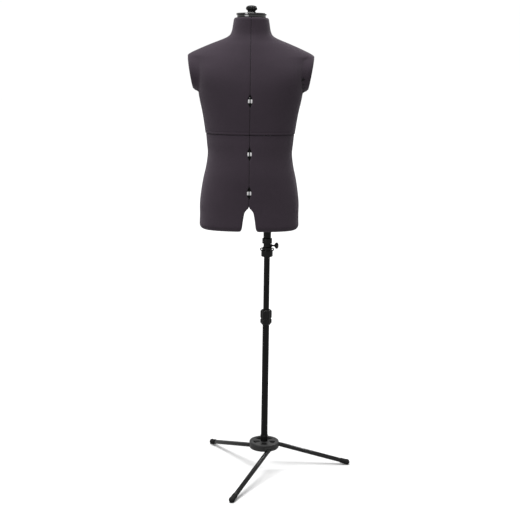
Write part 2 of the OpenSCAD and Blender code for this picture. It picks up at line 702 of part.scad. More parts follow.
// ---------------------------------------------------------------- assembly
hub();
hub_screw();
leg_pins();
lower_tube();
pole_bush();
clamp_body();
clamp_nut();
upper_tube();
pole_head();
thumbscrew();
body_spigot();
body_post();
crosshead();
neck_rod();
neck_cap();
neck_knob();
carriage();
for (k = [1:3]) {
  leg(k);
  foot(k);
}
for (half = HALVES, face = FACES, side = SIDES) {
  name = str(half, "_", face, "_", side);
  shell(half, face, side);
  cover(half, face, side);
  fittings(half, face, side);
}
for (place = concat(FACES, SIDES)) {
  wheel(chest_z, place);
  wheel(waist_z, place);
  wheel(place == "left" || place == "right" ? hip_side_z : hip_z, place);
}
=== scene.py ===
import json
import math

import bmesh
import bpy
import numpy as np
from mathutils import Matrix, Vector


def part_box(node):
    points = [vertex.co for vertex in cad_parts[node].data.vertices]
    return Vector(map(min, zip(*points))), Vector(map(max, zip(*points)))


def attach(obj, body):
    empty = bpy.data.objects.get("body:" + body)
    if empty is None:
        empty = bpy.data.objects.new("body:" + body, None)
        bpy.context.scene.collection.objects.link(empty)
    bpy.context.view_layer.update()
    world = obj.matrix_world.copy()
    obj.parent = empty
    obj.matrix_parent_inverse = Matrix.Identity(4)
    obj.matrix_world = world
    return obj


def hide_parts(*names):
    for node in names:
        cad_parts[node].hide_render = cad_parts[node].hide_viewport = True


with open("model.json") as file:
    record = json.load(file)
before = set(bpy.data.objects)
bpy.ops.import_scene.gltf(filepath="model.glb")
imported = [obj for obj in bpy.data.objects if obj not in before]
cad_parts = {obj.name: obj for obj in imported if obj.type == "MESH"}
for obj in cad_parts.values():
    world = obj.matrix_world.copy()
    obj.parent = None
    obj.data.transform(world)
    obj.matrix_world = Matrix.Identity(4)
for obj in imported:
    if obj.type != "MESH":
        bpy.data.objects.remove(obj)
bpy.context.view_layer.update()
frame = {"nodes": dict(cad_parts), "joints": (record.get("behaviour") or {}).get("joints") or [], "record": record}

MM = 0.001
HALVES, FACES, SIDES = ("upper", "lower"), ("front", "back"), ("left", "right")
PANELS = [(half, face, side) for half in HALVES for face in FACES for side in SIDES]


# ------------------------------------------------------------------ places from the frame, in millimetres
def middle(node):
    """The centre of a CAD node's box."""
    lo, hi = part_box(node)
    return [(a + b) / 2 / MM for a, b in zip(lo, hi)]


def box_mm(node):
    lo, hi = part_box(node)
    return [a / MM for a in lo], [b / MM for b in hi]


POLE_X, POLE_Y = middle("lower_tube")[:2]
BODY_X, BODY_Y = middle("neck_cap")[:2]
HEM_Z = box_mm("lower_front_left_cover")[0][2]
CUT_Z = (box_mm("lower_front_left_cover")[1][2] + box_mm("upper_front_left_cover")[0][2]) / 2
NECK_Z = box_mm("upper_front_left_cover")[1][2]
CHEST_Z = middle("chest_wheel_front")[2]
WAIST_Z = middle("waist_wheel_front")[2]
HIP_Z = middle("hip_wheel_front")[2]
HIP_SIDE_Z = middle("hip_wheel_right")[2]

# ------------------------------------------------------------------ camera
CAMERA_FROM_POLE = (-25.3, -3601.0)
CAMERA_Z = 1499.0
CAMERA_PITCH = 10.78
CAMERA_ROLL = 0.8
CAMERA_LENS = 68.99

camera = bpy.data.objects.new("camera", bpy.data.cameras.new("camera"))
camera.data.sensor_width = 36.0
camera.data.lens = CAMERA_LENS
camera.matrix_world = (
    Matrix.Translation(Vector((POLE_X + CAMERA_FROM_POLE[0], POLE_Y + CAMERA_FROM_POLE[1], CAMERA_Z)) * MM)
    @ Matrix.Rotation(math.radians(90 - CAMERA_PITCH), 4, "X")
    @ Matrix.Rotation(math.radians(CAMERA_ROLL), 4, "Z")
)
bpy.context.collection.objects.link(camera)
bpy.context.scene.camera = camera

# ------------------------------------------------------------------ torso outline, on the curves of the CAD
# Each list pairs a height with a size, and a smooth curve runs through its points. Sizes are millimetres.
SHOULDER_HALF = 224.0
CROTCH_Z = 1018.0
GAP, CUT_GAP = 1.2, 1.2
SIDE_CURVE = [
    (HEM_Z, 181), (980, 179.5), (1036, 179), (1110, 168.5), (1160, 157.5), (1205, 152), (1240, 155),
    (1275, 160), (1340, 170), (1410, 184), (1440, 187), (1480, 192), (1515, 201),
    (1534, 213), (1546, SHOULDER_HALF),
    (1552, 221), (1559, 211), (1573, 181), (1590, 141), (1604, 105), (1613, 85), (1621, 75), (1635, 68.6),
    (1655, 65), (1680, 61),
]
FRONT_CURVE = [
    (HEM_Z, 96), (1000, 99), (1060, 103), (1130, 108), (1205, 106), (1275, 108), (1340, 113), (1410, 118),
    (1460, 116), (1510, 106), (1550, 94), (1585, 80), (1607, 68), (1621, 62), (1640, 59.5), (1680, 58),
]
BACK_CURVE = [
    (HEM_Z, 104), (985, 114), (1040, 122), (1090, 115), (1150, 96), (1205, 85), (1260, 90), (1340, 103),
    (1420, 112), (1480, 115), (1530, 108), (1570, 93), (1600, 75), (1621, 65), (1640, 60.5), (1680, 58),
]
BLUNT_CURVE = [
    (HEM_Z, 2.6), (1036, 2.4), (1205, 2.2), (1340, 2.3), (1410, 2.5), (1470, 3), (1500, 2.8), (1530, 2.1),
    (1550, 1.65), (1575, 1.5), (1600, 1.55), (1621, 2), (1680, 2),
]
ARCH_CURVE = [(HEM_Z, 25.5), (965, 21.5), (990, 17.5), (1002, 14.5), (1011, 8), (CROTCH_Z, GAP / 2)]
HEM_R = 20.0
NECK_EDGE_R = 7.0
CUT_STEP, CUT_FADE = 1.5, 40.0
STUMP_Z, STUMP_HIGH, STUMP_DEEP, STUMP_LEAN = 1488.0, 60.0, 58.0, 0.171
STUMP_TOP_Z, STUMP_SPREAD, STUMP_BLEND = 1546, 1.13, 0.2
CORNER_R, CORNER_EASE, CORNER_LOW_Z = 8, 5.5, 985
HEM_DEPTH_SHARE, HEM_ARCH_SHARE = 0.8, 0.3
SHOULDER_LOW_Z, SHOULDER_HIGH_Z = 1530, 1625
WALL_REACH = 76
# The notch is narrower than the CAD's 9 mm, which looks nearer the photo.
NOTCH_H, NOTCH_W = 23.0, 7.7
COVER_T, SHELL_T = 2.5, 3.0
BLOCK_OUT = 7.5
HEM_STITCH, HEM_STITCH_W, HEM_STITCH_DEEP = 9.0, 1.2, 0.6
EDGE_R = 2.3
# Stands for a distance to an edge that is nowhere near.
FAR = 99.0


def curve(table, z):
    """Smooth curve through a table of (height, size) points."""
    at, size = np.array(table, float).T
    slope = np.gradient(size, at) * 0
    slope[1:-1] = (size[2:] - size[:-2]) / (at[2:] - at[:-2])
    slope[0] = (size[1] - size[0]) / (at[1] - at[0])
    slope[-1] = (size[-1] - size[-2]) / (at[-1] - at[-2])
    k = np.clip(np.searchsorted(at, z, side="right") - 1, 0, len(at) - 2)
    h = at[k + 1] - at[k]
    t = (z - at[k]) / h
    return (
        (2 * t**3 - 3 * t**2 + 1) * size[k] + (t**3 - 2 * t**2 + t) * h * slope[k]
        + (3 * t**2 - 2 * t**3) * size[k + 1] + (t**3 - t**2) * h * slope[k + 1]
    )


def smooth(t):
    t = np.clip(t, 0, 1)
    return t * t * (3 - 2 * t)


def hem_inset(z):
    reach = np.clip(HEM_Z + HEM_R - z, 0, HEM_R)
    return HEM_R - np.sqrt(HEM_R**2 - reach**2)


def neck_inset(z):
    reach = np.clip(z - (NECK_Z - NECK_EDGE_R), 0, NECK_EDGE_R)
    return NECK_EDGE_R - np.sqrt(NECK_EDGE_R**2 - reach**2)


def cut_inset(z):
    return np.where(z > CUT_Z, 0, CUT_STEP * smooth((z - CUT_Z + CUT_FADE) / CUT_FADE))


def half_width(z):
    return curve(SIDE_CURVE, z) - hem_inset(z) - neck_inset(z) - cut_inset(z)


def half_depth(z, face):
    table = FRONT_CURVE if face == "front" else BACK_CURVE
    return curve(table, z) - HEM_DEPTH_SHARE * hem_inset(z) - neck_inset(z) - cut_inset(z)


def skin(turn, z, face):
    """A point of the fabric surface of one quarter: turn 0 is the middle line, 90 degrees the side seam."""
    s, c = np.sin(np.radians(turn)), np.cos(np.radians(turn))
    n = curve(BLUNT_CURVE, z)
    k = (np.abs(s) ** n + np.abs(c) ** n) ** (-1 / n)
    x, y = half_width(z) * s * k, half_depth(z, face) * c * k
    plate = SHOULDER_HALF - STUMP_LEAN * (STUMP_TOP_Z - z)
    reach = np.hypot(y / STUMP_DEEP, (z - STUMP_Z) / STUMP_HIGH)
    blend = smooth((STUMP_SPREAD - reach) / STUMP_BLEND)
    return np.stack([x + np.maximum(plate - x, 0) * blend, y, z * np.ones_like(x)], -1)


def inward(turn, z, face):
    along = skin(turn + 1, z, face) - skin(turn - 1, z, face)
    up = skin(turn, np.minimum(z + 0.6, NECK_Z), face) - skin(turn, np.maximum(z - 0.6, HEM_Z), face)
    n = np.cross(along, up)
    return n / np.linalg.norm(n, axis=-1, keepdims=True)


def edge_gap(z, heights, widest=FAR):
    """Half the gap beside a seam, which widens to a lens at each of the heights."""
    lens = np.zeros_like(z)
    for at in heights:
        lens = np.maximum(lens, 1 - ((z - at) / NOTCH_H) ** 2)
    return np.minimum(GAP / 2 + (NOTCH_W - GAP / 2) * np.maximum(lens, 0), widest)


def corner_radius(z):
    return CORNER_R - CORNER_EASE * smooth((z - CORNER_LOW_Z) / (CROTCH_Z - CORNER_LOW_Z))


def arch_half(z):
    return curve(ARCH_CURVE, np.minimum(z, CROTCH_Z)) + HEM_ARCH_SHARE * hem_inset(z)


# ------------------------------------------------------------------ panel meshes
EDGE_STEPS = [0, 0.12, 0.45, 1.1, EDGE_R]


def stretch(start, end, step, near_start=True, near_end=True):
    """Rows from start to end, close together at the ends that are rounded edges."""
    a = start + EDGE_R if near_start else start
    b = end - EDGE_R if near_end else end
    rows = list(np.linspace(a, b, max(2, round((b - a) / step) + 1)))
    head = [start + e for e in EDGE_STEPS[:-1]] if near_start else []
    tail = [end - e for e in reversed(EDGE_STEPS[:-1])] if near_end else []
    return head + rows + tail


def panel_rows(half, step):
    """Heights of the rows, each with its distance from the nearer end of the panel."""
    if half == "upper":
        cut = CUT_Z + CUT_GAP / 2
        stitched = [cut + HEM_STITCH - HEM_STITCH_W, cut + HEM_STITCH, cut + HEM_STITCH + HEM_STITCH_W]
        rows = stretch(cut, SHOULDER_LOW_Z, step, near_end=False)
        rows = [z for z in rows if abs(z - stitched[1]) > HEM_STITCH_W + 0.3]
        rows = [(z, z - cut) for z in sorted(rows + stitched)]
        rows += [(z, FAR) for z in np.arange(SHOULDER_LOW_Z + step / 2, SHOULDER_HIGH_Z, step / 2)]
        neck_rows = max(4, round(45 / step))
        rows += [(z, FAR) for z in np.linspace(SHOULDER_HIGH_Z + 2, NECK_Z - NECK_EDGE_R - 1, neck_rows)]
        for a in (0, 15, 30, 45, 58, 71, 79, 86, 90):
            rows.append((NECK_Z - NECK_EDGE_R + NECK_EDGE_R * math.sin(math.radians(a)),
                         NECK_EDGE_R * math.radians(90 - a)))
        return rows
    rows = [(HEM_Z + HEM_R * (1 - math.cos(math.radians(a))), HEM_R * math.sin(math.radians(a)))
            for a in (0, 1, 3, 6.5, 13, 21, 30, 40, 50, 60, 70, 80)]
    rows += [(z, FAR) for z in np.linspace(HEM_Z + HEM_R, CROTCH_Z - 24, max(4, round(44 / step)))]
    rows += [(z, FAR) for z in np.linspace(CROTCH_Z - 21, CROTCH_Z - 2.4, 8)]
    rows += [(CROTCH_Z - 1.1, FAR), (CROTCH_Z, FAR), (CROTCH_Z + 2, FAR)]
    cut = CUT_Z - CUT_GAP / 2
    rows += [(z, cut - z) for z in stretch(CROTCH_Z + 5, cut, step, near_start=False)]
    return rows


def roll(*distances):
    """Depth of a rounded edge, from the distances to the panel's edges."""
    q = np.sqrt(sum(np.maximum(EDGE_R - d, 0) ** 2 for d in distances))
    return EDGE_R - np.sqrt(np.maximum(EDGE_R**2 - np.minimum(q, EDGE_R) ** 2, 0))


def panel_layer(half, face, rows, columns, depth, rounded):
    """Points of one layer of a panel. Columns are (zone, value): wall, corner, mid, face or side."""
    z = np.array([r[0] for r in rows])[:, None] * np.ones(len(columns))[None, :]
    row_edge = np.array([r[1] for r in rows])[:, None] * np.ones(len(columns))[None, :]
    zone = np.array([c[0] for c in columns])
    value = np.array([c[1] for c in columns], float)[None, :] * np.ones_like(z)
    lower = half == "lower"
    widest = BLOCK_OUT if depth > COVER_T else FAR
    leg = (z <= CROTCH_Z + 0.01) & lower
    wallish = ((zone == "wall") | (zone == "corner"))[None, :] & leg
    mid_edge = np.where(zone == "mid", value, FAR)
    mid_edge = np.where(leg & (z < CROTCH_Z - 0.01), FAR, mid_edge)
    side_edge = np.where(zone == "side", value, FAR)
    wall_edge = np.where(zone == "wall", value, FAR)
    top_edge = np.where(wallish, CROTCH_Z - z, FAR)
    t = depth + (roll(row_edge, mid_edge, side_edge, wall_edge, top_edge) if rounded else np.zeros_like(z))
    if rounded and half == "upper":
        t = t + HEM_STITCH_DEEP * np.maximum(1 - np.abs(row_edge - HEM_STITCH) / HEM_STITCH_W, 0)
    bend = np.maximum(corner_radius(z) - t, 0.5)
    wall = arch_half(z) + t
    start = np.where(leg, wall + bend, edge_gap(z, [HIP_Z, WAIST_Z] if lower else [CHEST_Z], widest))
    rim = edge_gap(z, [HIP_SIDE_Z, WAIST_Z] if lower else [CHEST_Z], widest)
    wide, deep = half_width(z), half_depth(z, face)

    def from_mid(e):
        return np.degrees(np.arcsin(np.clip((start + e) / wide, 0, 1)))

    def from_side(e):
        return 90 - np.degrees(np.arcsin(np.clip((rim + e) / deep, 0, 1)))

    first, last = from_mid(EDGE_R), from_side(EDGE_R)
    near_mid = from_mid(np.where(zone == "mid", value, 0))
    turn = np.where(zone == "face", first + (last - first) * value, near_mid)
    turn = np.where(zone == "side", from_side(value), turn)
    p = skin(turn, z, face) + t[..., None] * inward(turn, z, face)
    angle = np.radians(np.where(zone == "corner", value, 90.0))
    bent = p + bend[..., None] * np.stack([-np.sin(angle), np.cos(angle) - 1, 0 * angle], -1)
    y0 = p[..., 1] - bend
    along = np.where(zone == "wall", value, 0)
    flat = np.stack([wall, np.minimum(GAP / 2 + along, y0 - 0.01), p[..., 2]], -1)
    p = np.where(((zone == "corner")[None, :] & leg)[..., None], bent, p)
    return np.where(((zone == "wall")[None, :] & leg)[..., None], flat, p)


def panel_columns(half, across, wall_step):
    """Columns inside the leg, and columns from the middle line to the side seam."""
    face = [("mid", e) for e in EDGE_STEPS[:-1]]
    face += [("face", s) for s in np.linspace(0, 1, across)]
    face += [("side", e) for e in reversed(EDGE_STEPS[:-1])]
    if half == "upper":
        return [], face
    wall = [("wall", e) for e in EDGE_STEPS]
    wall += [("wall", e) for e in np.arange(EDGE_R + wall_step, WALL_REACH, wall_step)]
    corner = [("corner", a) for a in (90, 72, 54, 36, 18)]
    return wall + corner, face


def panel_mesh(name, half, face, side, depths, step, across, wall_step, rounded):
    """Closed sheet of one panel between two depths under the fabric surface."""
    rows = panel_rows(half, step)
    extra, face_columns = panel_columns(half, across, wall_step)
    columns = extra + face_columns
    outer = panel_layer(half, face, rows, columns, depths[0], rounded)
    inner = panel_layer(half, face, rows, columns, depths[1], False)
    nr, nc, ne = len(rows), len(columns), len(extra)
    leg_rows = [i for i, r in enumerate(rows) if r[0] <= CROTCH_Z + 0.01] if half == "lower" else []
    leg_top = max(leg_rows, default=-1)
    exists = np.zeros((nr + 1, nc + 1), bool)
    exists[1:nr, ne + 1:nc] = True
    exists[1:leg_top + 1, 1:ne + 1] = True
    mirror = Vector((-1 if side == "left" else 1, -1 if face == "front" else 1))
    points = np.concatenate([outer.reshape(-1, 3), inner.reshape(-1, 3)])
    points = points * [mirror[0], mirror[1], 1] + [BODY_X, BODY_Y, 0]
    faces = []

    def vid(layer, r, c):
        return layer * nr * nc + r * nc + c

    for r in range(nr - 1):
        for c in range(nc - 1):
            if not exists[r + 1, c + 1]:
                continue
            corners = [(r, c), (r, c + 1), (r + 1, c + 1), (r + 1, c)]
            faces.append([vid(0, *q) for q in reversed(corners)])
            faces.append([vid(1, *q) for q in corners])
            beside = [exists[r, c + 1], exists[r + 1, c + 2], exists[r + 2, c + 1], exists[r + 1, c]]
            for k in range(4):
                if not beside[k]:
                    a, b = corners[k], corners[(k + 1) % 4]
                    faces.append([vid(0, *a), vid(0, *b), vid(1, *b), vid(1, *a)])
    if mirror[0] * mirror[1] < 0:
        faces = [list(reversed(f)) for f in faces]
    mesh = bpy.data.meshes.new(name)
    mesh.from_pydata((points * MM).tolist(), [], faces)
    flow = np.linalg.norm(np.diff(outer, axis=1, prepend=outer[:, :1]), axis=-1).cumsum(1)
    climb = np.linalg.norm(np.diff(outer, axis=0, prepend=outer[:1]), axis=-1).cumsum(0)
    flow -= flow[:, ne:ne + 1]
    uv = np.tile(np.stack([flow, climb], -1).reshape(-1, 2) * MM, (2, 1))
    layer = mesh.uv_layers.new(name="cloth")
    index = np.zeros(len(mesh.loops), int)
    mesh.loops.foreach_get("vertex_index", index)
    layer.data.foreach_set("uv", uv[index].ravel())
    bm = bmesh.new()
    bm.from_mesh(mesh)
    bmesh.ops.delete(bm, geom=[v for v in bm.verts if not v.link_faces], context="VERTS")
    bmesh.ops.recalc_face_normals(bm, faces=bm.faces)
    bm.to_mesh(mesh)
    bm.free()
    mesh.shade_smooth()
    return add(name, mesh)


def add(name, mesh):
    piece = bpy.data.objects.new(name, mesh)
    bpy.context.collection.objects.link(piece)
    return piece


# ------------------------------------------------------------------ materials
class Graph:
    """Small helper to build a procedural material."""

    def __init__(self, name):
        self.material = bpy.data.materials.new(name)
        self.material.use_nodes = True
        self.tree = self.material.node_tree
        self.shader = self.tree.nodes["Principled BSDF"]

    def node(self, kind, **values):
        n = self.tree.nodes.new(kind)
        for key, value in values.items():
            if hasattr(n, key):
                setattr(n, key, value)
            else:
                n.inputs[key.replace("_", " ")].default_value = value
        return n

    def link(self, a, b):
        self.tree.links.new(a, b)

    def set(self, **values):
        for key, value in values.items():
            self.shader.inputs[key.replace("_", " ")].default_value = value

    def coords(self, uv=None):
        if uv:
            return self.node("ShaderNodeUVMap", uv_map=uv).outputs["UV"]
        return self.node("ShaderNodeTexCoord").outputs["Object"]

    def noise(self, where, scale, detail=3.0, rough=0.5):
        n = self.node("ShaderNodeTexNoise", Scale=scale, Detail=detail, Roughness=rough)
        self.link(where, n.inputs["Vector"])
        return n.outputs["Fac"]

    def wave(self, where, scale, direction, distort=0.0):
        n = self.node("ShaderNodeTexWave", wave_type="BANDS", bands_direction=direction, wave_profile="SIN",
                      Scale=scale, Distortion=distort, Detail=1.0, Detail_Scale=1.5)
        self.link(where, n.inputs["Vector"])
        return n.outputs["Fac"]

    def math(self, operation, a, b):
        n = self.node("ShaderNodeMath", operation=operation)
        for socket, value in zip(n.inputs, (a, b)):
            if isinstance(value, (int, float)):
                socket.default_value = value
            else:
                self.link(value, socket)
        return n.outputs[0]

    def ramp(self, fac, stops):
        n = self.node("ShaderNodeValToRGB")
        while len(n.color_ramp.elements) < len(stops):
            n.color_ramp.elements.new(0.5)
        for element, (at, colour) in zip(n.color_ramp.elements, stops):
            element.position = at
            element.color = (*colour, 1)
        self.link(fac, n.inputs["Fac"])
        return n.outputs["Color"]

    def span(self, fac, low, high):
        n = self.node("ShaderNodeMapRange")
        self.link(fac, n.inputs["Value"])
        n.inputs["To Min"].default_value = low
        n.inputs["To Max"].default_value = high
        return n.outputs["Result"]

    def bump(self, height, strength, distance):
        n = self.node("ShaderNodeBump", Strength=strength, Distance=distance)
        self.link(height, n.inputs["Height"])
        self.link(n.outputs["Normal"], self.shader.inputs["Normal"])


def tint(colour, factor):
    return tuple(min(c * factor, 1) for c in colour)


FABRIC_COLOUR = (0.0520, 0.0385, 0.0520)
WALE, COURSE = 0.0011, 0.0014


def fabric():
    """Fine jersey: ribs of knit stitches, a soft mottle and a pale nap that shows at grazing angles."""
    g = Graph("cover_jersey")
    colour = FABRIC_COLOUR
    where = g.coords("cloth")
    wales = g.wave(where, 1 / WALE / math.pi, "X")
    courses = g.wave(where, 1 / COURSE / math.pi, "Y", 0.6)
    knit = g.math("MULTIPLY", wales, g.math("ADD", g.math("MULTIPLY", courses, 0.55), 0.45))
    slub = g.noise(where, 900.0, 2.0)
    mottle = g.noise(g.coords(), 14.0, 4.0, 0.6)
    fine = g.noise(g.coords(), 420.0, 2.0)
    shade = g.math("ADD", g.math("MULTIPLY", knit, 0.45), g.math("MULTIPLY", fine, 0.3))
    shade = g.math("ADD", shade, g.math("MULTIPLY", mottle, 0.25))
    g.link(g.ramp(shade, [(0.2, tint(colour, 0.72)), (0.55, colour), (0.85, tint(colour, 1.3))]),
           g.shader.inputs["Base Color"])
    g.link(g.span(mottle, 0.86, 0.98), g.shader.inputs["Roughness"])
    g.set(Sheen_Weight=0.25, Sheen_Roughness=0.5, Sheen_Tint=(0.75, 0.68, 0.76, 1), Specular_IOR_Level=0.2)
    g.bump(g.math("ADD", knit, g.math("MULTIPLY", slub, 0.5)), 0.55, 0.0004)
    return g.material


def plastic(name, colour, rough, gloss=0.5, grain=1800.0, bump=0.12, coat=0.0, edge_pale=1.6):
    """Moulded plastic: fine grain, slight colour drift, convex edges a little paler."""
    g = Graph(name)
    where = g.coords()
    drift = g.noise(where, 22.0, 3.0)
    fine = g.noise(where, grain, 2.0)
    # Convex edges, found by pointiness, are made a little paler in colour.
    edge = g.node("ShaderNodeNewGeometry").outputs["Pointiness"]
    base = g.ramp(drift, [(0.3, tint(colour, 0.85)), (0.7, tint(colour, 1.15))])
    mix = g.node("ShaderNodeMix", data_type="RGBA")
    g.link(g.ramp(edge, [(0.5, (0, 0, 0)), (0.62, (0.5, 0.5, 0.5))]), mix.inputs["Factor"])
    g.link(base, mix.inputs["A"])
    mix.inputs["B"].default_value = (*tint(colour, edge_pale), 1)
    g.link(mix.outputs["Result"], g.shader.inputs["Base Color"])
    g.link(g.span(g.noise(where, 60.0, 4.0), rough - 0.06, rough + 0.08), g.shader.inputs["Roughness"])
    g.set(Specular_IOR_Level=gloss, Coat_Weight=coat, Coat_Roughness=0.06)
    g.bump(fine, bump, 0.0002)
    return g.material


def painted(name, colour, rough, gloss):
    """Powder coat on a tube: a tight orange peel with a few dull rubbed patches."""
    g = Graph(name)
    where = g.coords()
    peel = g.node("ShaderNodeTexVoronoi", Scale=650.0, feature="SMOOTH_F1")
    g.link(where, peel.inputs["Vector"])
    rub = g.noise(where, 9.0, 5.0, 0.65)
    g.link(g.ramp(rub, [(0.35, tint(colour, 0.85)), (0.7, tint(colour, 1.25))]),
           g.shader.inputs["Base Color"])
    g.link(g.span(rub, rough - 0.05, rough + 0.12), g.shader.inputs["Roughness"])
    g.set(Specular_IOR_Level=gloss)
    g.bump(peel.outputs["Distance"], 0.05, 0.0002)
    return g.material


def steel(name):
    """Zinc-plated steel with drawn streaks."""
    g = Graph(name)
    where = g.coords()
    drawn = g.node("ShaderNodeMapping")
    drawn.inputs["Scale"].default_value = (1, 1, 0.04)
    g.link(where, drawn.inputs["Vector"])
    streak = g.noise(drawn.outputs["Vector"], 900.0, 4.0)
    g.link(g.ramp(streak, [(0.3, (0.42, 0.43, 0.45)), (0.7, (0.66, 0.67, 0.69))]),
           g.shader.inputs["Base Color"])
    g.link(g.span(streak, 0.24, 0.42), g.shader.inputs["Roughness"])
    g.set(Metallic=1.0)
    g.bump(streak, 0.08, 0.0002)
    return g.material


MATERIALS = {
    "cover_fabric": fabric(),
    "panel_plastic": plastic("panel_shell", (0.012, 0.011, 0.013), 0.55, gloss=0.2),
    "white_nylon": plastic("nylon", (0.86, 0.86, 0.86), 0.4, edge_pale=1.0),
    "wheel_plastic": plastic("wheel_black", (0.012, 0.012, 0.012), 0.5, gloss=0.25),
    "gloss_black": plastic("cap_gloss", (0.004, 0.004, 0.004), 0.1, gloss=1.0, bump=0.02, coat=1.0),
    "black_plastic": plastic("satin_black", (0.005, 0.005, 0.005), 0.3, gloss=0.34),
    "pole_paint": painted("pole_coat", (0.004, 0.004, 0.004), 0.24, 0.26),
    "hub_paint": painted("hub_coat", (0.044, 0.044, 0.044), 0.3, 0.22),
    "zinc_steel": steel("zinc"),
    "rubber": plastic("foot_rubber", (0.012, 0.012, 0.012), 0.75, gloss=0.2, grain=900.0, bump=0.3),
}
# Dark sheets behind the seams are painted shade: they keep the seam gaps dark.
SEAM_SHADE = plastic("seam_shade_dark", (0.016, 0.015, 0.016), 0.95, gloss=0.1, grain=700.0, bump=0.6)
# The legs shine more than the pole in the photo, and keep its slot.
LEG_COAT = painted("leg_coat", (0.004, 0.004, 0.004), 0.16, 0.6)
LOOK = {"leg_1": LEG_COAT, "leg_2": LEG_COAT, "leg_3": LEG_COAT}
SLOT = {row["node"]: row["material_slot"] for row in frame["record"]["subparts"]}


def finish_piece(piece, body, node):
    piece.data.materials.clear()
    piece.data.materials.append(LOOK.get(node, MATERIALS[SLOT[node]]))
    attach(piece, body)
    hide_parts(node)
    return piece


# ------------------------------------------------------------------ panels: fabric covers and their shells
for half, face, side in PANELS:
    body = f"{half}_{face}_{side}"
    under = (COVER_T + 0.1, COVER_T + SHELL_T + 0.1)
    shell = panel_mesh(f"{body}_shell_fine", half, face, side, under,
                       step=14, across=18, wall_step=18, rounded=False)
    finish_piece(shell, body, f"{body}_shell")
    cover = panel_mesh(f"{body}_jersey", half, face, side, (0, COVER_T),
                       step=6, across=44, wall_step=9, rounded=True)
    finish_piece(cover, body, f"{body}_cover")


# ------------------------------------------------------------------ dark sheets behind the seams: painted shade for the seam gaps
SEAM_SHADE_DEPTH, SEAM_SHADE_T = 6.1, 0.6
SEAM_SHADE_NEAR, SEAM_SHADE_MIDDLE, SEAM_SHADE_FAR, SEAM_SHADE_STEP = 13, 8, 20, 12
BLOCK_REACH, WHEEL_REACH, WHEEL_SLOT = 7.5, 15.0, 2.4


def seam_shade_point(seam, e, z, depth):
    """A point beside a seam: e runs across it, towards the right or the back."""
    rows = np.array([[float(z)]])
    if seam in FACES:
        turn = np.degrees(np.arcsin(abs(e) / half_width(rows)))
        face, flip = seam, (-1 if e < 0 else 1, -1 if seam == "front" else 1)
    else:
        face = "back" if e > 0 else "front"
        turn = 90 - np.degrees(np.arcsin(abs(e) / half_depth(rows, face)))
        flip = (-1 if seam == "left" else 1, -1 if e < 0 else 1)
    x, y, height = (skin(turn, rows, face) + depth * inward(turn, rows, face))[0, 0]
    return BODY_X + x * flip[0], BODY_Y + y * flip[1], height


def add_seam_shade(half, seam):
    """Dark sheet inside the panel that holds the wheels, painted shade for the seam gap, with openings round
    blocks and wheels.
    """
    if seam in FACES:
        holder = f"{half}_{seam}_{'left' if seam == 'front' else 'right'}"
    else:
        holder = f"{half}_back_{seam}"
    near, far = (-1, 1) if seam == "front" else (1, -1)
    across = sorted([near * SEAM_SHADE_NEAR, near * SEAM_SHADE_MIDDLE, -WHEEL_SLOT, WHEEL_SLOT,
                     far * SEAM_SHADE_MIDDLE, far * SEAM_SHADE_FAR])
    if half == "upper":
        low, top, wheels = CUT_Z + 2, NECK_Z - 6, [CHEST_Z]
    else:
        low = CROTCH_Z + 4 if seam in FACES else HEM_Z + 24
        top, wheels = CUT_Z - 2, [WAIST_Z, HIP_Z if seam in FACES else HIP_SIDE_Z]
    heights = list(np.arange(low, top, SEAM_SHADE_STEP)) + [top]
    heights = [z for z in heights if all(abs(z - w) > WHEEL_REACH + 2 for w in wheels)]
    edges = (-WHEEL_REACH, -BLOCK_REACH, BLOCK_REACH, WHEEL_REACH)
    heights = sorted(heights + [w + k for w in wheels for k in edges])
    bm = bmesh.new()
    grid = [[bm.verts.new(Vector(seam_shade_point(seam, e, z, SEAM_SHADE_DEPTH)) * MM) for e in across]
            for z in heights]
    for r in range(len(heights) - 1):
        z = (heights[r] + heights[r + 1]) / 2
        nearest = min(abs(z - w) for w in wheels)
        for c in range(len(across) - 1):
            on_wheel = abs(across[c] + across[c + 1]) < 0.1 and nearest < WHEEL_REACH
            if nearest > BLOCK_REACH and not on_wheel:
                bm.faces.new([grid[r][c], grid[r][c + 1], grid[r + 1][c + 1], grid[r + 1][c]])
    bmesh.ops.delete(bm, geom=[v for v in bm.verts if not v.link_faces], context="VERTS")
    bmesh.ops.recalc_face_normals(bm, faces=bm.faces)
    mesh = bpy.data.meshes.new(f"{half}_{seam}_shade_sheet")
    bm.to_mesh(mesh)
    bm.free()
    piece = add(f"{half}_{seam}_shade_sheet", mesh)
    thick = piece.modifiers.new("thick", "SOLIDIFY")
    thick.thickness, thick.offset = SEAM_SHADE_T * MM, 0
    # The sheet's dark colour is painted shade for the seam gap.
    mesh.materials.append(SEAM_SHADE)
    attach(piece, holder)


for half in HALVES:
    for seam in FACES + SIDES:
        add_seam_shade(half, seam)


# ------------------------------------------------------------------ turned pieces, drawn in millimetres
def rounded(corners):
    """Outline through corners of (radius, height, rounding), each rounded by a short curve."""
    points = []
    for k, (radius, height, reach) in enumerate(corners):
        at = Vector((radius, height))
        if reach == 0:
            points.append(at)
            continue
        start = at + (Vector(corners[k - 1][:2]) - at).normalized() * reach
        end = at + (Vector(corners[(k + 1) % len(corners)][:2]) - at).normalized() * reach
        for t in (0, 0.25, 0.5, 0.75, 1):
            points.append(start * (1 - t) ** 2 + at * 2 * t * (1 - t) + end * t * t)
    return [tuple(p) for p in points]


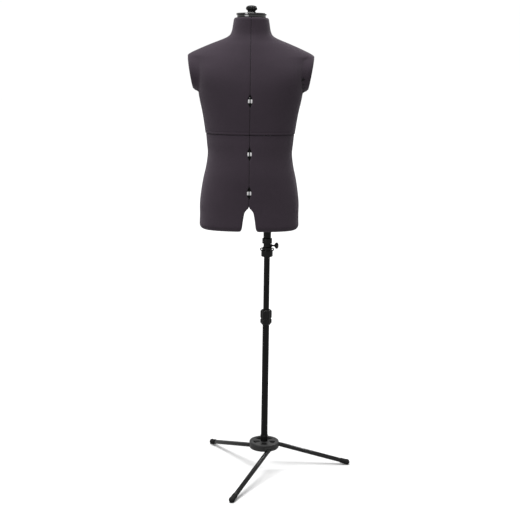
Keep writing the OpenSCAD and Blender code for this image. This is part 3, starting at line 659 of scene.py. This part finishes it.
def turn_on(bm, outline, at, closed=False, segments=96, shape=None):
    """Adds a turned body. shape(angle, radius, height) gives the radius where it isn't round."""
    rings = []
    for radius, height in outline:
        if radius < 0.001:
            rings.append([bm.verts.new(at @ Vector((0, 0, height)))])
            continue
        ring = []
        for k in range(segments):
            angle = 2 * math.pi * k / segments
            out = shape(angle, radius, height) if shape else radius
            ring.append(bm.verts.new(at @ Vector((out * math.cos(angle), out * math.sin(angle), height))))
        rings.append(ring)
    pairs = list(zip(rings, rings[1:])) + ([(rings[-1], rings[0])] if closed else [])
    for below, above in pairs:
        for k in range(segments):
            loop = [below[k % len(below)], below[(k + 1) % len(below)],
                    above[(k + 1) % len(above)], above[k % len(above)]]
            corners = list(dict.fromkeys(loop))
            if len(corners) > 2:
                bm.faces.new(corners)


def spot(x, y, z, turn_axis="Z", degrees=0.0):
    return Matrix.Translation((x, y, z)) @ Matrix.Rotation(math.radians(degrees), 4, turn_axis)


BODY_OF = {node: body for body, nodes in frame["record"]["behaviour"]["bodies"].items() for node in nodes}


def finish_mesh(node, bm, sharp=35):
    """Turns a mesh drawn in millimetres into the piece that replaces a CAD node."""
    bmesh.ops.scale(bm, vec=(MM, MM, MM), verts=bm.verts)
    bmesh.ops.recalc_face_normals(bm, faces=bm.faces)
    mesh = bpy.data.meshes.new(f"{node}_fine")
    bm.to_mesh(mesh)
    bm.free()
    mesh.shade_smooth()
    mesh.set_sharp_from_angle(angle=math.radians(sharp))
    return finish_piece(add(f"{node}_fine", mesh), BODY_OF[node], node)


def neck_cap():
    lo, hi = box_mm("neck_cap")
    edge, low, top = (hi[0] - lo[0]) / 2, lo[2], hi[2]
    ribs = 80

    def ribbed(angle, radius, height):
        on_wall = edge - 4.2 < radius < edge - 2 and height < top - 6.5
        return radius - 0.2 * (1 + math.cos(ribs * angle)) / 2 if on_wall else radius

    bm = bmesh.new()
    outline = rounded([
        (3.05, low, 0), (24, low, 1), (26, NECK_Z + 0.5, 1.5), (edge - 4, NECK_Z + 0.5, 0.6),
        (edge - 3, NECK_Z + 1.6, 0.6), (edge - 3, top - 7, 0.6), (edge - 0.8, top - 6, 0.7),
        (edge, top - 5, 0.7), (edge, top, 1.6),
        (edge - 4.5, top, 1.2), (edge - 6.5, top - 1.1, 1), (3.05, top - 1.1, 0)])
    turn_on(bm, outline, spot(BODY_X, BODY_Y, 0), closed=True, segments=ribs * 4, shape=ribbed)
    finish_mesh("neck_cap", bm)


def neck_knob():
    top = box_mm("neck_knob")[1][2]
    foot = box_mm("neck_cap")[1][2] - 0.7
    edge = (box_mm("neck_knob")[1][0] - box_mm("neck_knob")[0][0]) / 2
    low = box_mm("neck_knob")[0][2]
    flutes = 10

    def fluted(angle, radius, height):
        reach = float(smooth((radius - 12) / 6)) if height > foot + 8 else 0.0
        return radius - 2.2 * reach * ((1 + math.cos(flutes * angle)) / 2) ** 3

    bm = bmesh.new()
    outline = rounded([
        (0, foot, 0), (17, foot, 0.6), (17, foot + 2.5, 1), (14.2, foot + 5, 1.5), (13.5, foot + 7.5, 1.2),
        (15, foot + 10.4, 2), (edge - 0.6, foot + 13.6, 1.6), (edge, foot + 18, 2.4),
        (edge - 1.6, foot + 23, 2.6),
        (edge - 7, foot + 26, 3), (8, top, 3), (0, top, 0)])
    turn_on(bm, outline, spot(BODY_X, BODY_Y, 0), segments=240, shape=fluted)
    turn_on(bm, [(0, low), (3, low), (3, foot + 1), (0, foot + 1)], spot(BODY_X, BODY_Y, 0), segments=32)
    finish_mesh("neck_knob", bm)


# Six grips of radius GRIP_R stand on a ring of radius GRIP_RING, and reach GRIP_HIGH past the clamp's core.
CORE_R, GRIP_RING, GRIP_R, GRIP_HIGH = 18.4, 14.4, 7, 3


def lobes(angle, radius, height):
    """Six round grips round the clamp, where it is wider than its core."""
    swing = (angle + math.pi / 6) % (math.pi / 3) - math.pi / 6
    grip = GRIP_RING * math.cos(swing) + math.sqrt(max(GRIP_R**2 - (GRIP_RING * math.sin(swing)) ** 2, 0))
    grip = max(grip, CORE_R + 0.6 * math.cos(6 * angle))
    return CORE_R + (radius - CORE_R) * (grip - CORE_R) / GRIP_HIGH if radius > CORE_R else radius


def clamp(node, corners):
    bm = bmesh.new()
    turn_on(bm, rounded(corners), spot(POLE_X, POLE_Y, 0), closed=True, segments=144, shape=lobes)
    finish_mesh(node, bm)


def clamp_body():
    low, high = box_mm("clamp_body")[0][2], box_mm("clamp_nut")[0][2] - 0.3
    top = box_mm("clamp_body")[1][2]
    clamp("clamp_body", [
        (12.5, low, 0), (15.5, low, 0.8), (18.4, low + 5, 1), (21.4, low + 7, 1.6), (21.4, high - 4, 1.6),
        (18.6, high, 0.6), (14, high, 0.3), (14, top, 0.6), (11.3, top, 0.6), (11.3, high - 3, 0),
        (12.5, high - 3, 0)])


def clamp_nut():
    (_, _, low), (_, _, top) = box_mm("clamp_nut")
    clamp("clamp_nut", [
        (14.3, low, 0), (18.6, low, 0.3), (21.4, low + 4, 1.6), (21.4, top - 5, 1.8), (18.6, top - 2.4, 1.4),
        (16, top, 1), (11.3, top, 0.6), (11.3, low + 21, 0), (14.3, low + 21, 0)])


EYELET_OUT = 20


def pole_head():
    (_, _, low), (_, _, top) = box_mm("pole_head")
    bm = bmesh.new()
    centre = spot(POLE_X, POLE_Y, 0)
    turn_on(bm, rounded([
        (11, low, 0), (19.4, low, 0.8), (21.2, low + 1.6, 0.8), (21.2, low + 22.5, 1), (19.8, low + 24, 0.8),
        (17, low + 24.5, 0.8), (17, top - 33, 0.8), (13.2, top - 31, 1), (13.2, top - 20, 1),
        (18, top - 18.5, 1), (18, top, 1), (9.55, top, 0.4),
        (9.55, top - 37, 0), (11, top - 37, 0)]), centre, closed=True)
    for side in (-1, 1):
        eyelet = spot(POLE_X + side * EYELET_OUT, POLE_Y, middle_of_eyelets(), "X", 90)
        turn_on(bm, rounded([(2.25, -2, 0.8), (6, -2, 1.2), (6, 2, 1.2), (2.25, 2, 0.8)]), eyelet,
                closed=True, segments=48)
    boss = spot(POLE_X, POLE_Y, middle("thumbscrew")[2], "Y", 90)
    turn_on(bm, rounded([(3.05, 11, 0), (5.5, 11, 0), (5.5, 18.5, 0.6), (3.05, 18.5, 0.3)]), boss,
            closed=True, segments=48)
    finish_mesh("pole_head", bm)


def middle_of_eyelets():
    return next(m["pos_m"][2] / MM for m in frame["record"]["mounts"] if "eyelet" in m["name"])


def thumbscrew():
    inner, outer = [v - POLE_X for v in (box_mm("thumbscrew")[0][0], box_mm("thumbscrew")[1][0])]
    edge = (box_mm("thumbscrew")[1][2] - box_mm("thumbscrew")[0][2]) / 2

    def ridged(angle, radius, height):
        return radius - 0.5 * (1 + math.cos(20 * angle)) / 2 if radius > edge - 1.2 else radius

    bm = bmesh.new()
    at = spot(POLE_X, POLE_Y, middle("thumbscrew")[2], "Y", 90)
    turn_on(bm, rounded([
        (0, outer - 15, 0), (4.5, outer - 15, 0.5), (6.5, outer - 13, 1), (edge - 0.8, outer - 11, 1),
        (edge, outer - 8.5, 1), (edge, outer - 5.5, 1), (edge - 1, outer - 3, 1), (7.5, outer - 1, 1.5),
        (3.5, outer, 1), (0, outer, 0)]), at, segments=120, shape=ridged)
    turn_on(bm, [(0, inner), (3, inner), (3, outer - 14), (0, outer - 14)], at, segments=32)
    finish_mesh("thumbscrew", bm)


def pole_bush():
    (_, _, low), (_, _, top) = box_mm("pole_bush")
    bm = bmesh.new()
    turn_on(bm, rounded([
        (12.5, low, 0), (13.8, low, 0.2), (13.8, top - 3.2, 0.4), (14.6, top - 2.4, 0.3),
        (14.6, top - 0.8, 0.4),
        (13.9, top, 0.4), (12.5, top, 0.2)]), spot(POLE_X, POLE_Y, 0), closed=True)
    finish_mesh("pole_bush", bm)


KNURLS, KNURL_DEEP = 40, 0.9
# The thread is only for looks: the couplings assume another lead.
THREAD_PITCH, THREAD_DEEP = 1.5, 0.22


def wheel(node):
    """Knurled wheel on a threaded spindle, along X at the front and back and along Y at the sides."""
    lo, hi = box_mm(node)
    along = 0 if node.endswith(("front", "back")) else 1
    x, y, z = middle(node)
    centre = [BODY_X, y, z] if along == 0 else [x, BODY_Y, z]
    edge, half = (hi[2] - lo[2]) / 2, 1.6
    start, end = lo[along] - centre[along], hi[along] - centre[along]
    at = spot(*centre, "Y", 90) if along == 0 else spot(*centre, "X", -90)

    def knurled(angle, radius, height):
        cut = KNURL_DEEP * ((1 + math.cos(KNURLS * angle)) / 2) ** 2
        return radius - cut if radius > edge - 1 else radius

    def threaded(angle, radius, height):
        return radius + THREAD_DEEP * (math.sin(2 * math.pi * height / THREAD_PITCH - angle) - 1)

    bm = bmesh.new()
    turn_on(bm, rounded([
        (3, -half, 0), (7, -half, 0.5), (8, -half + 0.5, 0.4), (edge - 4, -half + 0.5, 0.4),
        (edge - 3, -half, 0.4), (edge, -half, 0.6), (edge, half, 0.6),
        (edge - 3, half, 0.4), (edge - 4, half - 0.5, 0.4),
        (8, half - 0.5, 0.4), (7, half, 0.5), (3, half, 0)]), at, closed=True, segments=240, shape=knurled)
    heights = np.arange(start + 0.4, end - 0.4, 0.3)
    spindle = [(0, start), (2.4, start)] + [(3, float(h)) for h in heights] + [(2.4, end), (0, end)]
    turn_on(bm, spindle, at, segments=20, shape=lambda a, r, h: threaded(a, r, h) if r > 2.9 else r)
    held, inside = (start, 1) if abs(start) < abs(end) else (end, -1)
    collar = held + 1.6 * inside
    turn_on(bm, rounded([(3, held, 0), (4.8, held, 0.4), (4.8, collar, 0.4), (3, collar, 0)]),
            at, closed=True, segments=32)
    finish_mesh(node, bm)


def softened_mesh(node, width):
    """A copy of a CAD piece with its flat faces merged and its sharp edges rounded."""
    source = frame["nodes"][node]
    bm = bmesh.new()
    bm.from_mesh(source.data)
    bm.transform(source.matrix_world)
    bmesh.ops.scale(bm, vec=(1 / MM, 1 / MM, 1 / MM), verts=bm.verts)
    bmesh.ops.remove_doubles(bm, verts=bm.verts, dist=0.02)
    bmesh.ops.dissolve_limit(bm, angle_limit=math.radians(0.6), verts=bm.verts, edges=bm.edges)
    edges = [e for e in bm.edges if e.is_manifold and e.calc_face_angle(0) > math.radians(38)]
    bmesh.ops.bevel(bm, geom=edges, offset=width, segments=2, profile=0.5, affect="EDGES", clamp_overlap=True)
    bmesh.ops.triangulate(bm, faces=[f for f in bm.faces if len(f.verts) > 4])
    return bm


UPPER_TUBE_R, UPPER_BORE_R = 11, 9.5
LOWER_TUBE_R, LOWER_BORE_R, LOWER_FLOOR_Z = 12.5, 11.3, 97


def tube(node, outer, bore, floor=None):
    """Round tube with eased ends, closed by a floor at the given height if there is one."""
    (_, _, low), (_, _, top) = box_mm(node)
    bm = bmesh.new()
    if floor is None:
        outline = [(bore, low, 0.4), (outer, low, 0.4), (outer, top, 0.5), (bore, top, 0.4)]
    else:
        outline = [(0, low, 0), (outer, low, 0.4), (outer, top, 0.5), (bore, top, 0.4), (bore, floor, 0),
                   (0, floor, 0)]
    turn_on(bm, rounded(outline), spot(POLE_X, POLE_Y, 0), closed=floor is None)
    finish_mesh(node, bm)


FOOT_R, FOOT_SUNK = 11.0, 1.0


def leg_line(k):
    """The hinge of a leg and the middle of its foot."""
    pivot = Vector(next(j["pos_m"] for j in frame["joints"] if j["name"] == f"leg_{k}_fold")) / MM
    pad = next(m["pos_m"] for m in frame["record"]["mounts"] if m["name"] == f"foot_pad_{k}")
    return pivot, Vector((pad[0] / MM, pad[1] / MM, FOOT_R - FOOT_SUNK))


def foot(k):
    """Rubber foot: a ringed sleeve on the leg's end and a ball that stands flat on the floor."""
    pivot, centre = leg_line(k)
    at = Matrix.Translation(centre) @ (centre - pivot).to_track_quat("Z", "Y").to_matrix().to_4x4()
    corners = [(0, -3, 0), (8.3, -3, 0), (8.3, -26, 0.2), (9.8, -26, 0.5)]
    for groove in (-22.5, -19, -15.5):
        corners += [(9.8, groove - 0.9, 0.3), (9.2, groove, 0.4), (9.8, groove + 0.9, 0.3)]
    outline = rounded(corners + [(9.8, -7, 0.8)])
    outline += [(FOOT_R * math.cos(math.radians(a)), FOOT_R * math.sin(math.radians(a)))
                for a in range(-25, 90, 5)]
    bm = bmesh.new()
    turn_on(bm, outline + [(0, FOOT_R)], at, segments=72)
    for v in bm.verts:
        v.co.z = max(v.co.z, 0)
    finish_mesh(f"foot_{k}", bm)


LEG_R = 8.3
LIP_TOP, LIP_START, LIP_SHY = 105.6, 8.5, 0.7


def hub_edge():
    """Radius where the lips end, just inside the hub's rim."""
    lo, hi = box_mm("hub")
    return (hi[0] - lo[0]) / 2 - LIP_SHY


def hub():
    """The hub with eased edges, and a lip over each leg, which the CAD hub doesn't have."""
    bm = softened_mesh("hub", 0.6)
    bore, side, edge = LEG_R + 0.8, LEG_R + 1, hub_edge()
    for k in (1, 2, 3):
        pivot, centre = leg_line(k)
        along = Vector((centre.x - pivot.x, centre.y - pivot.y, 0)).normalized()
        across = Vector((-along.y, along.x, 0))
        axis = Vector((POLE_X, POLE_Y, 0))
        start, offset = (pivot - axis).dot(along), (pivot - axis).dot(across)
        fall = (centre.z - pivot.z) / ((centre - pivot).dot(along))
        arch = [(bore * math.cos(math.radians(a)), a) for a in range(0, 181, 12)]
        section = [(side, LIP_TOP), (side, None), *arch, (-side, None), (-side, LIP_TOP)]
        ends = []
        for near_end in (True, False):
            ring = []
            for y, kind in section:
                rim = math.sqrt(edge**2 - (offset + y) ** 2)
                x = min(start + LIP_START, rim) if near_end else rim
                z = pivot.z + (x - start) * fall
                if kind == LIP_TOP:
                    z = LIP_TOP
                elif kind is not None:
                    z += bore * math.sin(math.radians(kind))
                place = axis + along * x + across * (offset + y)
                ring.append(bm.verts.new((place.x, place.y, z)))
            ends.append(ring)
        count = len(section)
        for q in range(count):
            bm.faces.new([ends[0][q], ends[0][(q + 1) % count], ends[1][(q + 1) % count], ends[1][q]])
        bm.faces.new(ends[0])
        bm.faces.new(list(reversed(ends[1])))
    finish_mesh("hub", bm)


hub()
neck_cap()
neck_knob()
clamp_body()
clamp_nut()
pole_head()
thumbscrew()
pole_bush()
tube("upper_tube", UPPER_TUBE_R, UPPER_BORE_R)
tube("lower_tube", LOWER_TUBE_R, LOWER_BORE_R, floor=LOWER_FLOOR_Z)
for k in (1, 2, 3):
    foot(k)
DONE = {"hub", "neck_cap", "neck_knob", "clamp_body", "clamp_nut", "pole_head", "thumbscrew", "pole_bush",
        "upper_tube", "lower_tube", "foot_1", "foot_2", "foot_3"}
EASE = {"hub_screw": 0.5, "leg_pins": 0.4, "body_spigot": 0.6, "body_post": 0.4, "neck_rod": 0.8,
        "crosshead": 0.9, "carriage": 0.9}
for node in frame["nodes"]:
    if "_wheel_" in node:
        wheel(node)
    elif node not in DONE and not node.endswith(("_shell", "_cover")):
        finish_mesh(node, softened_mesh(node, EASE.get(node, 0.6)))

# ------------------------------------------------------------------ floor and light
FLOOR = 40.0
floor_mesh = bpy.data.meshes.new("floor")
floor_mesh.from_pydata([(-FLOOR, -FLOOR, 0), (FLOOR, -FLOOR, 0), (FLOOR, FLOOR, 0), (-FLOOR, FLOOR, 0)], [],
                       [(0, 1, 2, 3)])
floor = add("floor", floor_mesh)
pale = Graph("pale_floor")
pale.set(Base_Color=(0.9, 0.9, 0.9, 1), Roughness=0.9, Specular_IOR_Level=0.0)
floor.data.materials.append(pale.material)
floor.visible_diffuse = False
floor.visible_glossy = False

# White backdrop behind the object, and a dimmer even light from it on the object.
BACKDROP, FILL = 1.02, 0.39
scene = bpy.context.scene
scene.view_settings.view_transform = "Standard"
world = bpy.data.worlds.new("studio")
world.use_nodes = True
links, nodes = world.node_tree.links, world.node_tree.nodes
brightness = nodes.new("ShaderNodeMapRange")
brightness.inputs["To Min"].default_value = FILL
brightness.inputs["To Max"].default_value = BACKDROP
links.new(nodes.new("ShaderNodeLightPath").outputs["Is Camera Ray"], brightness.inputs["Value"])
links.new(brightness.outputs["Result"], nodes["Background"].inputs["Strength"])
nodes["Background"].inputs["Color"].default_value = (1, 1, 1, 1)
scene.world = world


def light(name, kind, energy, at, aim, **values):
    data = bpy.data.lights.new(name, kind)
    data.energy = energy
    for key, value in values.items():
        setattr(data, key, value)
    obj = bpy.data.objects.new(name, data)
    obj.location = at
    obj.rotation_euler = (Vector(aim) - Vector(at)).to_track_quat("-Z", "Y").to_euler()
    obj.visible_camera = False
    bpy.context.collection.objects.link(obj)


light("overhead", "SUN", 3.0, (-0.14, -0.16, 0.98), (0, 0, 0), angle=math.radians(37))
light("left_panel", "AREA", 24, (-2.4, -2.9, 2.0), (0, 0, 1.6), shape="SQUARE", size=1.2)
light("back_right", "AREA", 14, (1.0, 1.6, 2.2), (0, 0, 0.1), shape="SQUARE", size=0.5)

# The hub and the pole's foot leave the white floor clean, so only the legs cast a shadow there.
for node in ("hub", "hub_screw", "lower_tube", "pole_bush", "clamp_body", "clamp_nut"):
    bpy.data.objects[f"{node}_fine"].visible_shadow = False
